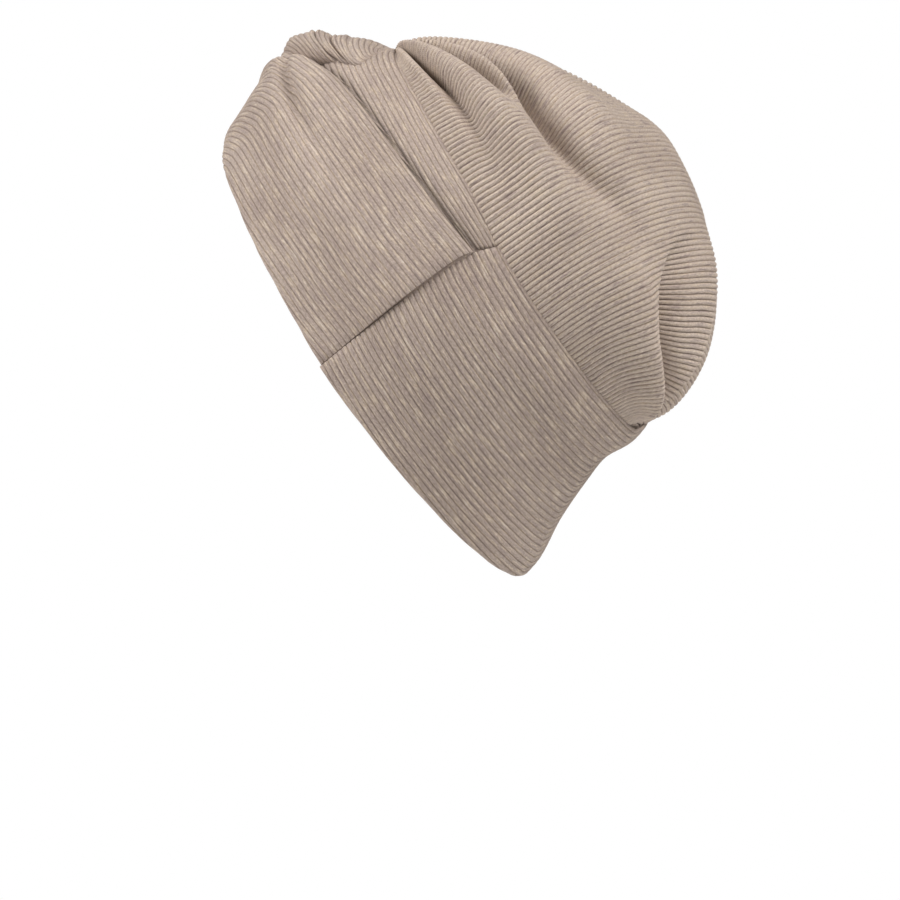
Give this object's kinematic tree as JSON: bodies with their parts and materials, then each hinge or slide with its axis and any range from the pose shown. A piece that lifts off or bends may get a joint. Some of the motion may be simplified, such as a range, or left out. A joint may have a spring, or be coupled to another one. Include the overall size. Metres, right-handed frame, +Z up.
{
  "type": "turban headwrap",
  "caption": "Pull-on turban headwrap of ribbed jersey: wraps twisted together over the forehead, a folded band round the back, and a puffed crown gathered at front and nape.",
  "frame": {"origin": "middle of the head opening, in the plane of the brim, half way between forehead and nape and on the middle plane of the head", "axes": "+Z up as it is worn, -Y towards the face, +X towards the wearer's left; the brim leans back 54 degrees from level"},
  "size_m": [0.1639, 0.2197, 0.2364],
  "materials": {
    "crown_rib": "matte beige heather rib knit",
    "band_rib": "matte beige heather rib knit, folded double",
    "wrap_rib": "matte beige heather rib knit"
  },
  "bodies": {
    "root": {"crown": "crown_rib", "back_band": "band_rib", "left_wrap": "wrap_rib", "right_wrap": "wrap_rib"}
  },
  "joints": []
}
